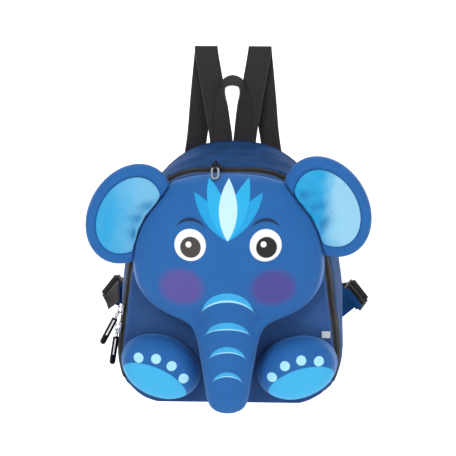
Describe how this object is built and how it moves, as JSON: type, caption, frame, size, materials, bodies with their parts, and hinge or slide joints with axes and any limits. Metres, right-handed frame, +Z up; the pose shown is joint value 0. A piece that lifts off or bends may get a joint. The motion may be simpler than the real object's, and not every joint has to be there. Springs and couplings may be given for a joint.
{
  "type": "kids backpack",
  "caption": "Toddler backpack shaped as an elephant: hollow zipped bag with puffed face, trunk, ears and feet, webbing straps and a grab handle, hanging by its straps.",
  "frame": {"origin": "the hang point, midway between the top folds of the two shoulder straps", "axes": "+Z up, +X to the picture's right, +Y to the wearer's back; the face looks along -Y"},
  "size_m": [0.3006, 0.1888, 0.37],
  "materials": {
    "bag_navy": "matt woven cloth",
    "neoprene_blue": "fine knit over foam, printed",
    "satin_cyan": "satin with a soft sheen",
    "webbing_black": "ribbed webbing",
    "zip_black": "zip tape and coil",
    "plastic_black": "moulded",
    "metal_silver": "plated",
    "label_grey": "woven tag, bare"
  },
  "bodies": {
    "root": {"front_panel": "bag_navy", "back_panel": "bag_navy", "gusset_left": "bag_navy", "gusset_right": "bag_navy", "bottom_strip": "bag_navy", "main_zip": "zip_black", "head": "neoprene_blue", "ear_left": "neoprene_blue", "ear_right": "neoprene_blue", "ear_lining_left": "satin_cyan", "ear_lining_right": "satin_cyan", "foot_left": "neoprene_blue", "foot_right": "neoprene_blue", "strap_left": "webbing_black", "strap_right": "webbing_black", "handle": "webbing_black", "strap_tab_left": "bag_navy", "strap_tab_right": "bag_navy", "buckle_left": "plastic_black", "buckle_right": "plastic_black", "slider_upper": "metal_silver", "slider_lower": "metal_silver", "slider_brow": "metal_silver", "pull_upper": "metal_silver", "pull_lower": "metal_silver", "pull_brow": "metal_silver", "side_label": "label_grey"}
  },
  "joints": []
}
